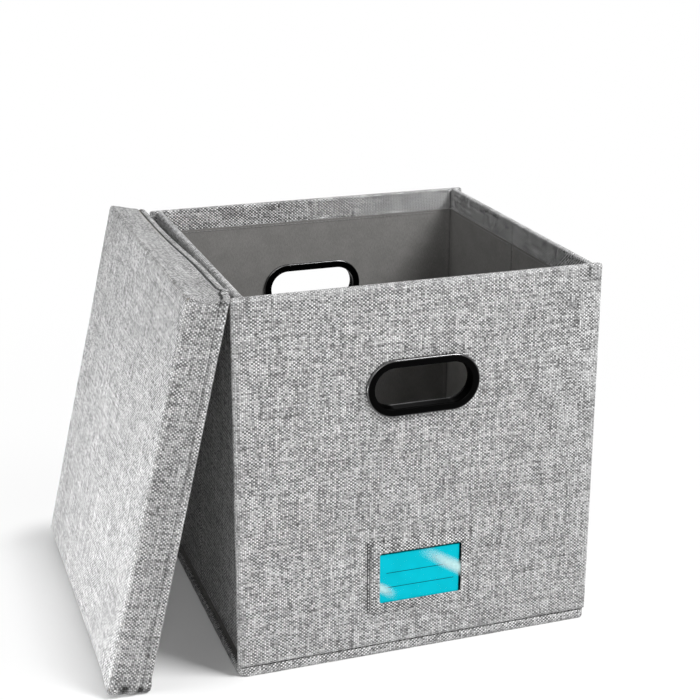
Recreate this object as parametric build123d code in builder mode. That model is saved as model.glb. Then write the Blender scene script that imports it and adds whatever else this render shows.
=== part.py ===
"""Collapsible fabric record box, with its lift-off tray lid leaning on the left side.

Millimetres. The origin is on the floor under the middle of the box, +X runs to the right
along the front wall, +Y from the front wall to the back wall, and +Z is up.
"""

import os
from math import cos, radians, sin

from build123d import *

# Box
BOX_WIDTH = 345.0
BOX_DEPTH = 328.0
BOX_HEIGHT = 355.0
SIDE_INSET = 6.0
TOP_HEM = 22.0
CORNER_ROUND = 3.0

# Layers of a wall, from the outside in
WALL_CLOTH = 1.2
WALL_BOARD = 5.0
WALL_LINING = 0.8
WALL = WALL_CLOTH + WALL_BOARD + WALL_LINING

# Base tray, and the loose board that stiffens it
BASE_HEIGHT = 8.6
BASE_CORNER = 8.0
BASE_BOARD = 3.0
BASE_POCKET_WIDTH = 319.0
BASE_POCKET_DEPTH = 311.0
INSERT_WIDTH = 316.0
INSERT_DEPTH = 307.0
INSERT_THICKNESS = 3.4
INSERT_CLOTH = 0.4

# Running gaps that let the walls fold
FOLD_GAP = 0.4
CREASE_GAP = 0.4

# Handle grommets
HANDLE_HEIGHT = 260.0
RING_WIDTH = 107.0
RING_HEIGHT = 53.0
RING_OPENING_WIDTH = 92.0
RING_OPENING_HEIGHT = 38.0
RING_PROUD = 3.2
INNER_RING_PROUD = 2.5
BARREL_WALL = 1.8
CUTOUT_GAP = 0.4
RING_OUTER_ROUND = 1.5
RING_INNER_ROUND = 1.2

# Label pocket
POCKET_WIDTH = 103.0
POCKET_HEIGHT = 71.0
POCKET_CENTRE = 79.0
POCKET_THICKNESS = 2.0
POCKET_CORNER = 1.5
POCKET_EDGE_ROUND = 0.5
SLEEVE_WIDTH = 91.0
SLEEVE_FLOOR = 6.0
SLEEVE_DEPTH = 1.3
WINDOW_WIDTH = 80.0
WINDOW_HEIGHT = 50.0
WINDOW_CENTRE = 77.5
WINDOW_CORNER = 2.5
FILM = 0.4
FILM_OVERLAP = 4.0
CARD_WIDTH = 89.0
CARD_HEIGHT = 58.0
CARD_THICKNESS = 0.5
CARD_GAP = 0.2

# Lid: a tray that fits over the box, standing on its lower rim against the left corners
LID_CLEARANCE = 4.0
LID_CLOTH = 1.0
LID_BOARD = 2.4
LID_LINING = 0.6
LID_WALL = LID_CLOTH + LID_BOARD + LID_LINING
LID_LENGTH = BOX_WIDTH + 2 * (LID_CLEARANCE + LID_WALL)
LID_WIDTH = BOX_DEPTH + 2 * (LID_CLEARANCE + LID_WALL)
LID_DEPTH = 37.0
LID_LEAN = 13.0
LID_GAP = 0.4
LID_BACK_SHIFT = 10.0
LID_ROUND = 3.0

# Places that follow from the sizes above
FRONT_FACE = -BOX_DEPTH / 2
BACK_FACE = BOX_DEPTH / 2
SIDE_FACE = BOX_WIDTH / 2 - SIDE_INSET
SIDE_END = BOX_DEPTH / 2 - WALL - FOLD_GAP
HALF_LENGTH = SIDE_END - CREASE_GAP / 2
HALF_CENTRE = (SIDE_END + CREASE_GAP / 2) / 2
BARREL_WIDTH = RING_OPENING_WIDTH + 2 * BARREL_WALL
BARREL_HEIGHT = RING_OPENING_HEIGHT + 2 * BARREL_WALL
BASE_BOARD_TOP = WALL_CLOTH + BASE_BOARD
BASE_RIM_TOP = BASE_HEIGHT - WALL_LINING
INSERT_BOTTOM = BASE_BOARD_TOP + WALL_LINING
SWINGING_FOOT = BASE_HEIGHT + FOLD_GAP


def save(piece, name):
    """Label a finished piece and write it under its node name."""
    piece.part.label = name
    export_step(piece.part, f"parts/{name}.step")


def face_plane(middle, across, outward, foot):
    """Plane on a wall's outer face, centred between its foot and the box's top."""
    return Plane(origin=(*middle, (foot + BOX_HEIGHT) / 2), x_dir=across, z_dir=outward)


def handle_hole(foot, mode):
    """Outline of the hole for a grommet's barrel, in a wall sketch that is being drawn."""
    with Locations((0, HANDLE_HEIGHT - (foot + BOX_HEIGHT) / 2)):
        SlotOverall(BARREL_WIDTH + 2 * CUTOUT_GAP, BARREL_HEIGHT + 2 * CUTOUT_GAP, mode=mode)


def wall_board(name, face, width, foot, has_handle):
    """Stiff core of a wall, one cloth's thickness inside its outline."""
    with BuildPart() as board:
        with BuildSketch(face.offset(-WALL_CLOTH)):
            Rectangle(width - 2 * WALL_CLOTH, BOX_HEIGHT - foot - 2 * WALL_CLOTH)
            if has_handle:
                handle_hole(foot, Mode.SUBTRACT)
        extrude(amount=-WALL_BOARD)
    save(board, name)


def wall_cover(name, face, width, foot, has_handle, rounded):
    """Outer cloth, wrapped round the board's edges and hemmed over the top edge."""
    height = BOX_HEIGHT - foot
    with BuildPart() as cover:
        with BuildSketch(face):
            Rectangle(width, height)
        extrude(amount=-(WALL - WALL_LINING))
        if rounded:
            outer = cover.faces().sort_by(Axis(face.origin, face.z_dir))[-1]
            fillet(outer.edges().filter_by(Axis.Z), radius=CORNER_ROUND)
        with BuildSketch(face.offset(-WALL_CLOTH)):
            Rectangle(width - 2 * WALL_CLOTH, height - 2 * WALL_CLOTH)
        extrude(amount=-WALL_BOARD, mode=Mode.SUBTRACT)
        with BuildSketch(face.offset(-(WALL - WALL_LINING))):
            with Locations((0, (height - TOP_HEM) / 2)):
                Rectangle(width, TOP_HEM)
        extrude(amount=-WALL_LINING)
        if has_handle:
            with BuildSketch(face):
                handle_hole(foot, Mode.ADD)
            extrude(amount=-WALL, mode=Mode.SUBTRACT)
    save(cover, name)


def wall_lining(name, face, width, foot, has_handle):
    """Inner cloth, from the wall's foot up to the hem."""
    with BuildPart() as lining:
        with BuildSketch(face.offset(-(WALL - WALL_LINING))):
            with Locations((0, -TOP_HEM / 2)):
                Rectangle(width, BOX_HEIGHT - foot - TOP_HEM)
            if has_handle:
                handle_hole(foot, Mode.SUBTRACT)
        extrude(amount=-WALL_LINING)
    save(lining, name)


def wall(name, middle, across, outward, width, foot, has_handle=False):
    """The three layers of one wall panel."""
    face = face_plane(middle, across, outward, foot)
    wall_board(f"{name}_board", face, width, foot, has_handle)
    wall_cover(f"{name}_cover", face, width, foot, has_handle, rounded=has_handle)
    wall_lining(f"{name}_lining", face, width, foot, has_handle)


def handle_rings(side, middle, across, outward):
    """Grommet of one handle: a flanged barrel from outside and its ring from inside."""
    face = Plane(origin=(*middle, HANDLE_HEIGHT), x_dir=across, z_dir=outward)
    through = WALL + INNER_RING_PROUD

    with BuildPart() as outer_ring:
        with BuildSketch(face):
            SlotOverall(RING_WIDTH, RING_HEIGHT)
        extrude(amount=RING_PROUD)
        with BuildSketch(face):
            SlotOverall(BARREL_WIDTH, BARREL_HEIGHT)
        extrude(amount=-through)
        with BuildSketch(face.offset(RING_PROUD)):
            SlotOverall(RING_OPENING_WIDTH, RING_OPENING_HEIGHT)
        extrude(amount=-(RING_PROUD + through), mode=Mode.SUBTRACT)
        front = outer_ring.faces().sort_by(Axis(face.origin, face.z_dir))[-1]
        fillet(front.outer_wire().edges(), radius=RING_OUTER_ROUND)
        front = outer_ring.faces().sort_by(Axis(face.origin, face.z_dir))[-1]
        fillet(front.inner_wires()[0].edges(), radius=RING_INNER_ROUND)
    save(outer_ring, f"{side}_handle_ring")

    with BuildPart() as inner_ring:
        with BuildSketch(face.offset(-WALL)):
            SlotOverall(RING_WIDTH, RING_HEIGHT)
            SlotOverall(BARREL_WIDTH, BARREL_HEIGHT, mode=Mode.SUBTRACT)
        extrude(amount=-INNER_RING_PROUD)
        back = inner_ring.faces().sort_by(Axis(face.origin, face.z_dir))[0]
        fillet(back.outer_wire().edges(), radius=RING_INNER_ROUND)
    save(inner_ring, f"{side}_handle_backing_ring")


def base():
    """Fixed floor of the box: a board and an edge frame between two cloths."""
    core = (BOX_WIDTH - 2 * WALL_CLOTH, BOX_DEPTH - 2 * WALL_CLOTH, BASE_CORNER - WALL_CLOTH)
    frame_opening = (BASE_POCKET_WIDTH + 2 * WALL_LINING, BASE_POCKET_DEPTH + 2 * WALL_LINING)

    with BuildPart() as base_cover:
        with BuildSketch(Plane.XY):
            RectangleRounded(BOX_WIDTH, BOX_DEPTH, BASE_CORNER)
        extrude(amount=BASE_HEIGHT)
        with BuildSketch(Plane.XY.offset(WALL_CLOTH)):
            RectangleRounded(*core)
        extrude(amount=BASE_HEIGHT - WALL_CLOTH, mode=Mode.SUBTRACT)
    save(base_cover, "base_cover")

    with BuildPart() as base_board:
        with BuildSketch(Plane.XY.offset(WALL_CLOTH)):
            RectangleRounded(*core)
        extrude(amount=BASE_BOARD)
    save(base_board, "base_board")

    with BuildPart() as base_edge_frame:
        with BuildSketch(Plane.XY.offset(BASE_BOARD_TOP)):
            RectangleRounded(*core)
            Rectangle(*frame_opening, mode=Mode.SUBTRACT)
        extrude(amount=BASE_RIM_TOP - BASE_BOARD_TOP)
    save(base_edge_frame, "base_edge_frame")

    with BuildPart() as base_lining:
        with BuildSketch(Plane.XY.offset(BASE_RIM_TOP)):
            RectangleRounded(*core)
        extrude(amount=WALL_LINING)
        with BuildSketch(Plane.XY.offset(BASE_BOARD_TOP)):
            Rectangle(*frame_opening)
        extrude(amount=BASE_RIM_TOP - BASE_BOARD_TOP)
        with BuildSketch(Plane.XY.offset(INSERT_BOTTOM)):
            Rectangle(BASE_POCKET_WIDTH, BASE_POCKET_DEPTH)
        extrude(amount=BASE_HEIGHT - INSERT_BOTTOM, mode=Mode.SUBTRACT)
    save(base_lining, "base_lining")


def insert_board():
    """Loose board that lies in the base tray and is lifted out before folding."""
    core = (INSERT_WIDTH - 2 * INSERT_CLOTH, INSERT_DEPTH - 2 * INSERT_CLOTH)

    with BuildPart() as insert_cover:
        with BuildSketch(Plane.XY.offset(INSERT_BOTTOM)):
            Rectangle(INSERT_WIDTH, INSERT_DEPTH)
        extrude(amount=INSERT_THICKNESS)
        with BuildSketch(Plane.XY.offset(INSERT_BOTTOM)):
            Rectangle(*core)
        extrude(amount=INSERT_THICKNESS - INSERT_CLOTH, mode=Mode.SUBTRACT)
    save(insert_cover, "insert_cover")

    with BuildPart() as insert_core:
        with BuildSketch(Plane.XY.offset(INSERT_BOTTOM)):
            Rectangle(*core)
        extrude(amount=INSERT_THICKNESS - INSERT_CLOTH)
    save(insert_core, "insert_core")


def label_pocket():
    """Sewn frame with a clear window, open at its top edge, and the card inside it."""
    face = Plane(origin=(0, FRONT_FACE, POCKET_CENTRE), x_dir=(1, 0, 0), z_dir=(0, -1, 0))
    sleeve_height = POCKET_HEIGHT - SLEEVE_FLOOR
    sleeve_bottom = SLEEVE_FLOOR - POCKET_HEIGHT / 2
    window_shift = WINDOW_CENTRE - POCKET_CENTRE
    film_top = window_shift + WINDOW_HEIGHT / 2 + FILM_OVERLAP
    card_bottom = sleeve_bottom + CARD_GAP

    with BuildPart() as pocket_frame:
        with BuildSketch(face):
            RectangleRounded(POCKET_WIDTH, POCKET_HEIGHT, POCKET_CORNER)
        extrude(amount=POCKET_THICKNESS)
        front = pocket_frame.faces().sort_by(Axis.Y)[0]
        fillet(front.edges(), radius=POCKET_EDGE_ROUND)
        with BuildSketch(face):
            with Locations((0, SLEEVE_FLOOR / 2)):
                Rectangle(SLEEVE_WIDTH, sleeve_height)
        extrude(amount=SLEEVE_DEPTH, mode=Mode.SUBTRACT)
        with BuildSketch(face):
            with Locations((0, window_shift)):
                RectangleRounded(WINDOW_WIDTH, WINDOW_HEIGHT, WINDOW_CORNER)
        extrude(amount=POCKET_THICKNESS, mode=Mode.SUBTRACT)
    save(pocket_frame, "label_pocket_frame")

    with BuildPart() as window_film:
        with BuildSketch(face.offset(SLEEVE_DEPTH - FILM)):
            with Locations((0, (sleeve_bottom + film_top) / 2)):
                Rectangle(SLEEVE_WIDTH, film_top - sleeve_bottom)
        extrude(amount=FILM)
    save(window_film, "label_window_film")

    with BuildPart() as label_card:
        with BuildSketch(face.offset(CARD_GAP)):
            with Locations((0, card_bottom + CARD_HEIGHT / 2)):
                Rectangle(CARD_WIDTH, CARD_HEIGHT)
        extrude(amount=CARD_THICKNESS)
    save(label_card, "label_card")


def lid():
    """Tray lid: five boards in an outer cloth, lined inside, built on its leaning face."""
    lean = radians(LID_LEAN)
    foot_x = -BOX_WIDTH / 2 - LID_GAP - LID_LENGTH * sin(lean)
    face = Plane(
        origin=(
            foot_x - LID_DEPTH * cos(lean) + LID_LENGTH / 2 * sin(lean),
            LID_BACK_SHIFT,
            LID_DEPTH * sin(lean) + LID_LENGTH / 2 * cos(lean),
        ),
        x_dir=(sin(lean), 0, cos(lean)),
        z_dir=(-cos(lean), 0, sin(lean)),
    )
    board_length = LID_LENGTH - 2 * LID_CLOTH
    board_width = LID_WIDTH - 2 * LID_CLOTH
    rim_top = LID_CLOTH + LID_BOARD
    rim_height = LID_DEPTH - LID_CLOTH - rim_top
    near_far_length = board_length - 2 * LID_BOARD

    with BuildPart() as lid_cover:
        with BuildSketch(face):
            Rectangle(LID_LENGTH, LID_WIDTH)
        extrude(amount=-LID_DEPTH)
        outer = lid_cover.faces().sort_by(Axis(face.origin, face.z_dir))[-1]
        fillet(outer.edges(), radius=LID_ROUND)
        with BuildSketch(face.offset(-LID_CLOTH)):
            Rectangle(board_length, board_width)
        extrude(amount=-(LID_DEPTH - 2 * LID_CLOTH), mode=Mode.SUBTRACT)
        with BuildSketch(face.offset(LID_CLOTH - LID_DEPTH)):
            Rectangle(LID_LENGTH - 2 * LID_WALL, LID_WIDTH - 2 * LID_WALL)
        extrude(amount=-LID_CLOTH, mode=Mode.SUBTRACT)
    save(lid_cover, "lid_cover")

    with BuildPart() as top_board:
        with BuildSketch(face.offset(-LID_CLOTH)):
            Rectangle(board_length, board_width)
        extrude(amount=-LID_BOARD)
    save(top_board, "lid_top_board")

    end_shift = (board_length - LID_BOARD) / 2
    side_shift = (board_width - LID_BOARD) / 2
    rims = {
        "lid_upper_rim_board": ((end_shift, 0), (LID_BOARD, board_width)),
        "lid_lower_rim_board": ((-end_shift, 0), (LID_BOARD, board_width)),
        "lid_back_rim_board": ((0, side_shift), (near_far_length, LID_BOARD)),
        "lid_front_rim_board": ((0, -side_shift), (near_far_length, LID_BOARD)),
    }
    for name, (centre, size) in rims.items():
        with BuildPart() as rim_board:
            with BuildSketch(face.offset(-rim_top)):
                with Locations(centre):
                    Rectangle(*size)
            extrude(amount=-rim_height)
        save(rim_board, name)

    with BuildPart() as lid_lining:
        with BuildSketch(face.offset(-rim_top)):
            Rectangle(board_length - 2 * LID_BOARD, board_width - 2 * LID_BOARD)
        extrude(amount=-rim_height)
        with BuildSketch(face.offset(-LID_WALL)):
            Rectangle(LID_LENGTH - 2 * LID_WALL, LID_WIDTH - 2 * LID_WALL)
        extrude(amount=-rim_height, mode=Mode.SUBTRACT)
    save(lid_lining, "lid_lining")


os.makedirs("parts", exist_ok=True)

base()
insert_board()

FRONT = ((0, FRONT_FACE), (1, 0, 0), (0, -1, 0))
BACK = ((0, BACK_FACE), (-1, 0, 0), (0, 1, 0))
wall("front", *FRONT, BOX_WIDTH, SWINGING_FOOT, has_handle=True)
wall("back", *BACK, BOX_WIDTH, BASE_HEIGHT, has_handle=True)
for half, y in (("front", -HALF_CENTRE), ("rear", HALF_CENTRE)):
    left_half = ((-SIDE_FACE, y), (0, -1, 0), (-1, 0, 0))
    right_half = ((SIDE_FACE, y), (0, 1, 0), (1, 0, 0))
    wall(f"left_{half}", *left_half, HALF_LENGTH, SWINGING_FOOT)
    wall(f"right_{half}", *right_half, HALF_LENGTH, SWINGING_FOOT)

handle_rings("front", *FRONT)
handle_rings("back", *BACK)
label_pocket()
lid()
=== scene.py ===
"""Fabric record box with its lid leaning on the left side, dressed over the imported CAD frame.

Everything is in metres, in the CAD frame: +X along the front wall, +Y from front to back, +Z up.
"""

from functools import partialmethod
from math import cos, pi, radians, sin

import bmesh
import bpy
import numpy as np
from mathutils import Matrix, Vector, noise

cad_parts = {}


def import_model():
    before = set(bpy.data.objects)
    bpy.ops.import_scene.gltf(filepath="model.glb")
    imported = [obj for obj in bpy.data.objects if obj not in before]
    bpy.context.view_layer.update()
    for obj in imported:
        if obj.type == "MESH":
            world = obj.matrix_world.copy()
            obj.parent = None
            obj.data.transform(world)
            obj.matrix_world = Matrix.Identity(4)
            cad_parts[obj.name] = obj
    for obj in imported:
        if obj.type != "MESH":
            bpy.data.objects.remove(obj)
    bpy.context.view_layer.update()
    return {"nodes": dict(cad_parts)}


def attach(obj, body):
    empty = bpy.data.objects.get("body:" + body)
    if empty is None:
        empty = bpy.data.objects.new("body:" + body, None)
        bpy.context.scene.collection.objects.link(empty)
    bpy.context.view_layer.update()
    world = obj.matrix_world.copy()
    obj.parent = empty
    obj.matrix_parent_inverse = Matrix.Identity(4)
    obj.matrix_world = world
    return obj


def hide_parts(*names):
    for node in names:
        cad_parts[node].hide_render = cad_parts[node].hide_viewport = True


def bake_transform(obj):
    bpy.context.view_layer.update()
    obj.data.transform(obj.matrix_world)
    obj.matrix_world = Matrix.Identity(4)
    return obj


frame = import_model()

MM = 0.001
UPWARD = (0, 0, 1)

# Sizes shared with the CAD model
BOX_WIDTH = 0.345
BOX_DEPTH = 0.328
BOX_HEIGHT = 0.355
WALL = 0.007
SIDE_FACE = 0.1665
INNER_SIDE = SIDE_FACE - WALL
INNER_END = BOX_DEPTH / 2 - WALL
TOP_HEM = 0.022
BASE_HEIGHT = 0.0086
SWINGING_FOOT = 0.009
HALF_LENGTH = 0.1564
HALF_CENTRE = 0.0784
HANDLE_HEIGHT = 0.26
SLOT_HALF = 0.027
BARREL_RADIUS = 0.019
BARREL_END = 0.1545
RING_RADIUS = 0.0265
LID_LENGTH = 0.361
LID_WIDTH = 0.344
LID_DEPTH = 0.037
LID_WALL = 0.004
LID_LEAN = radians(13.0)
LID_BACK_SHIFT = 0.01
LID_GAP = 0.0004
POCKET_WIDTH = 0.103
POCKET_HEIGHT = 0.071
POCKET_CENTRE = 0.079
WINDOW_WIDTH = 0.08
WINDOW_HEIGHT = 0.05
WINDOW_CENTRE = 0.0775
CARD_LINES = (0.067, 0.0815)
CARD_LINE_HALF = 0.033

# The weave: its threads' pitch, how long their slubs are, and what each effect adds to a tone
WARP_PITCH = 1.84 * MM
WEFT_PITCH = 1.54 * MM
THREAD_DRIFT = 1.5 * MM
SLUBS_PER_METRE = 130.0
YARN_STEP = 5.37
MIDDLE_TONE = 0.465
SLUB_TONE = 1.45
FLECK_TONE = 0.64
# The twist adds painted light and shade to the tone
TWIST_SHADE = 0.12
WORN_TONE = 0.44

# Where each piece starts on the flat cloth, in metres, so that no two show the same stretch
CLOTH_AT = {
    "front": 2.0, "back": 4.0, "left": 6.0, "right": 8.0, "base": 10.0, "corner": 12.0,
    "lid": 14.0, "wall_felt": 20.0, "base_felt": 30.0, "insert_felt": 34.0, "lid_felt": 40.0,
}


# ---- materials


class Value:
    """An output of a node. Arithmetic with it adds math nodes to its graph."""

    def __init__(self, graph, socket):
        self.graph = graph
        self.socket = socket

    def math(self, operation, *values):
        return self.graph.math(operation, self, *values)

    def __rsub__(self, other):
        return self.graph.math("SUBTRACT", other, self)

    __add__ = __radd__ = partialmethod(math, "ADD")
    __sub__ = partialmethod(math, "SUBTRACT")
    __mul__ = __rmul__ = partialmethod(math, "MULTIPLY")
    __truediv__ = partialmethod(math, "DIVIDE")
    __mod__ = partialmethod(math, "FLOORED_MODULO")
    __abs__ = partialmethod(math, "ABSOLUTE")


class Graph:
    """The node tree of a material or the world, with short calls to add nodes to it."""

    def __init__(self, owner):
        owner.use_nodes = True
        self.owner = owner
        self.tree = owner.node_tree
        self.tree.nodes.clear()

    def add(self, kind, inputs=None, **settings):
        """Adds a node. Its inputs are plain values or other nodes' outputs."""
        node = self.tree.nodes.new("ShaderNode" + kind)
        for key, value in settings.items():
            setattr(node, key, value)
        for key, value in (inputs or {}).items():
            if isinstance(value, Value):
                self.tree.links.new(value.socket, node.inputs[key])
            else:
                node.inputs[key].default_value = value
        return node

    def output(self, which, kind, inputs=None, **settings):
        """Adds a node and gives one of its outputs."""
        return Value(self, self.add(kind, inputs, **settings).outputs[which])

    def math(self, operation, *values):
        return self.output(0, "Math", dict(enumerate(values)), operation=operation)

    def larger(self, a, b):
        return self.math("MAXIMUM", a, b)

    def length(self, a, b):
        return (a * a + b * b).math("SQRT")

    def clamped(self, value):
        return self.output(0, "Clamp", {0: value})

    def spread(self, value, low, high, to_low=0.0, to_high=1.0):
        """Maps low..high smoothly to to_low..to_high, held at both ends."""
        inputs = dict(enumerate((value, low, high, to_low, to_high)))
        return self.output(0, "MapRange", inputs, interpolation_type="SMOOTHSTEP")

    def vector(self, x=0.0, y=0.0, z=0.0):
        return self.output(0, "CombineXYZ", {0: x, 1: y, 2: z})

    def vectors(self, operation, a, b):
        return self.output(0, "VectorMath", {0: a, 1: b}, operation=operation)

    def split(self, vector):
        return [Value(self, socket) for socket in self.add("SeparateXYZ", {0: vector}).outputs]

    def noise(self, vector, scale, detail=2.0, rough=0.5, output="Fac"):
        inputs = {"Vector": vector, "Scale": scale, "Detail": detail, "Roughness": rough}
        return self.output(output, "TexNoise", inputs)

    def mix(self, factor, a, b, blend="MIX"):
        """Mixes two colours."""
        inputs = {0: factor, 6: a, 7: b}
        return self.output(2, "Mix", inputs, data_type="RGBA", blend_type=blend)

    def shaded(self, colour, shade):
        return self.mix(1.0, colour, self.vector(shade, shade, shade), "MULTIPLY")

    def between(self, share, a, b):
        """Mixes two values."""
        return self.output(0, "Mix", {0: share, 2: a, 3: b})

    def mix_shaders(self, share, a, b):
        return self.output(0, "MixShader", {0: share, 1: a, 2: b})

    def bump(self, height, distance, strength=1.0):
        inputs = {"Height": height, "Distance": distance, "Strength": strength}
        return self.output(0, "Bump", inputs)

    def cloth(self):
        """Place on the cloth, in metres along its threads."""
        return self.output(0, "UVMap", uv_map="cloth")

    def place(self):
        return self.output("Object", "TexCoord")

    def attribute(self, name):
        return self.output("Fac", "Attribute", attribute_name=name)

    def seen(self):
        """1 for what the camera sees directly, mirrored or through something clear."""
        path = self.add("LightPath").outputs
        kinds = ("Is Camera Ray", "Is Transmission Ray", "Is Glossy Ray")
        direct, through, mirrored = (Value(self, path[kind]) for kind in kinds)
        return self.larger(self.larger(direct, through), mirrored)

    def surface(self, shader):
        self.add("OutputMaterial", {"Surface": shader})
        return self.owner

    def principled(self, **inputs):
        named = {key.replace("_", " "): value for key, value in inputs.items()}
        return self.surface(self.output(0, "BsdfPrincipled", named))


def material_graph(name):
    return Graph(bpy.data.materials.new(name))


def grey(value):
    return (value, value, value, 1.0)


def linen(name, pale, dark):
    """Plain weave of pale warp and dark weft, with slubs, painted shade in its creases and worn
    edges.
    """
    g = material_graph(name)
    flat = g.cloth()
    # The threads wander a little, and crowd and part over a few millimetres
    drift = g.vectors("SUBTRACT", g.noise(flat, 60.0, 1.0, output="Color"), (0.5,) * 3)
    drift = g.vectors("MULTIPLY", drift, (THREAD_DRIFT,) * 3)
    u, v, _ = g.split(g.vectors("ADD", flat, drift))
    across, along = u / WARP_PITCH, v / WEFT_PITCH
    warp, weft = across.math("FLOOR"), along.math("FLOOR")
    warp_on_top = (warp + weft) % 2.0

    def drop(threads):
        """How far a thread's surface has fallen: 0 at its middle and 1 at its sides."""
        side = threads.math("FRACT") - 0.5
        return side * side * 4.0

    def thread_height(drop_across, drop_along):
        return (1.0 - drop_across) * (1.0 - 0.45 * drop_along)

    # Rounding of each thread across its width, and of each float along its length
    drop_u, drop_v = drop(across), drop(along)
    height = g.between(warp_on_top, thread_height(drop_v, drop_u), thread_height(drop_u, drop_v))

    # Pale warp and dark weft, with a contrast that comes and goes in patches
    wear = g.attribute("wear")
    patch = g.spread(g.noise(flat, 110.0, 2.0), 0.36, 0.64, 0.40, 0.85) * (1.0 - 0.65 * wear)
    tone = (warp_on_top - 0.5) * patch + MIDDLE_TONE

    # Each thread's own tone, changing along it, and each float's own fleck
    warp_slub = g.noise(g.vector(warp * YARN_STEP, v * SLUBS_PER_METRE), 1.0, 3.0, 0.6)
    weft_slub = g.noise(g.vector(u * SLUBS_PER_METRE, weft * YARN_STEP), 1.0, 3.0, 0.6)
    slub = g.between(warp_on_top, weft_slub, warp_slub)
    floats = {"Vector": g.vector(warp, weft)}
    fleck = g.output("Value", "TexWhiteNoise", floats, noise_dimensions="2D")
    tone += (slub - 0.5) * SLUB_TONE + (fleck - 0.5) * FLECK_TONE
    # Thick and thin yarns lie in streaks both ways, and painted light and shade from the yarns'
    # twist joins pale floats aslant
    upright = g.noise(g.vector(u * 360.0, v * 20.0), 1.0, 2.0)
    level = g.noise(g.vector(u * 20.0, v * 400.0), 1.0, 2.0)
    twist = ((across + along) * pi).math("COSINE")
    tone = g.clamped(tone + (upright + level - 1.0) + twist * TWIST_SHADE)
    tone = g.between(wear * 0.4, tone, WORN_TONE)

    # Painted shade between the threads and in the creases, cloudy patches and rubbed edges
    fibre = g.noise(flat, 2600.0, 2.0, 0.7)
    shade = (0.38 + 0.72 * height) * (0.92 + 0.16 * fibre)
    shade *= g.spread(g.noise(flat, 14.0, 3.0), 0.3, 0.7, 0.96, 1.04)
    rubbed = wear * g.spread(g.noise(flat, 90.0, 3.0), 0.4, 0.65)
    shade *= (1.0 + 0.14 * rubbed) * g.clamped(1.0 - 0.9 * g.attribute("crease"))
    return g.principled(
        Base_Color=g.shaded(g.mix(tone, dark, pale), shade),
        Roughness=0.82 + 0.12 * fibre,
        Specular_IOR_Level=0.12,
        Sheen_Weight=0.08,
        Sheen_Roughness=0.5,
        Normal=g.bump(height + 0.25 * fibre, 0.3 * MM, 0.6),
    )


def felt(name, colour):
    """Non-woven lining: matted fibres pressed together in a lattice of small bonded dots."""
    g = material_graph(name)
    flat = g.cloth()
    u, v, _ = g.split(flat)
    row = v / (1.1 * MM)
    column = u / (1.6 * MM) + row.math("FLOOR") % 2.0 * 0.5
    away = g.length(column.math("FRACT") - 0.5, row.math("FRACT") - 0.5)
    dot = g.spread(away, 0.2, 0.34, 1.0, 0.0)

    def strands(turn, scale):
        inputs = {"Vector": flat, "Rotation": (0, 0, turn), "Scale": (1, 0.2, 1)}
        return g.noise(g.output(0, "Mapping", inputs), scale, 3.0, 0.7)

    fibre = g.larger(strands(0.6, 1500.0), strands(-0.9, 1300.0))
    cloud = g.spread(g.noise(flat, 45.0, 4.0, 0.6), 0.3, 0.7, 0.92, 1.06)
    shade = g.spread(fibre, 0.35, 0.75, 0.80, 1.15) * cloud * (1.0 - 0.16 * dot)
    # Painted shade along creases and joins, as the mesh marks them
    shade *= g.clamped(1.0 - 0.6 * g.attribute("crease"))
    return g.principled(
        Base_Color=g.shaded(colour, shade),
        Roughness=0.9 - 0.15 * dot,
        Specular_IOR_Level=0.3,
        Sheen_Weight=0.1,
        Normal=g.bump(fibre - dot * 0.8, 0.12 * MM, 0.8),
    )


def black_plastic():
    """Moulded black plastic with faint flow ripples and fine handling scratches."""
    g = material_graph("black_plastic_gloss")
    place = g.place()
    x, y, z = g.split(place)
    ripple = g.noise(place, 90.0, 2.0)
    stretched = g.output(0, "Mapping", {"Vector": place, "Scale": (60.0, 60.0, 1400.0)})
    scratch = g.spread(g.noise(stretched, 1.0, 4.0, 0.65), 0.62, 0.74)
    dust = g.spread(g.noise(place, 900.0, 3.0, 0.7), 0.6, 0.75)
    # The ring's outer edge is polished, its face hardly, and its barrel only at the far end
    out = g.length(g.larger(abs(x) - SLOT_HALF, 0.0), z - HANDLE_HEIGHT)
    edge = g.spread(out, RING_RADIUS - 1.6 * MM, RING_RADIUS - 0.6 * MM)
    barrel = g.spread(out, BARREL_RADIUS + 0.1 * MM, BARREL_RADIUS + 0.8 * MM, 1.0, 0.0)
    near = g.spread(abs(y), BARREL_END + 0.6 * MM, BARREL_END + 3.0 * MM, 0.0, 0.95)
    return g.principled(
        Base_Color=g.mix(dust * 0.3, grey(0.0006), grey(0.003)),
        Roughness=0.13 + 0.12 * scratch + 0.08 * ripple,
        Specular_IOR_Level=0.97 * edge + (0.03 - 0.03 * (barrel * near)),
        Coat_Weight=edge * 0.9,
        Coat_Roughness=0.1,
        Normal=g.bump(ripple - 0.08 * scratch, 0.12 * MM, 0.5),
    )


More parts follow.
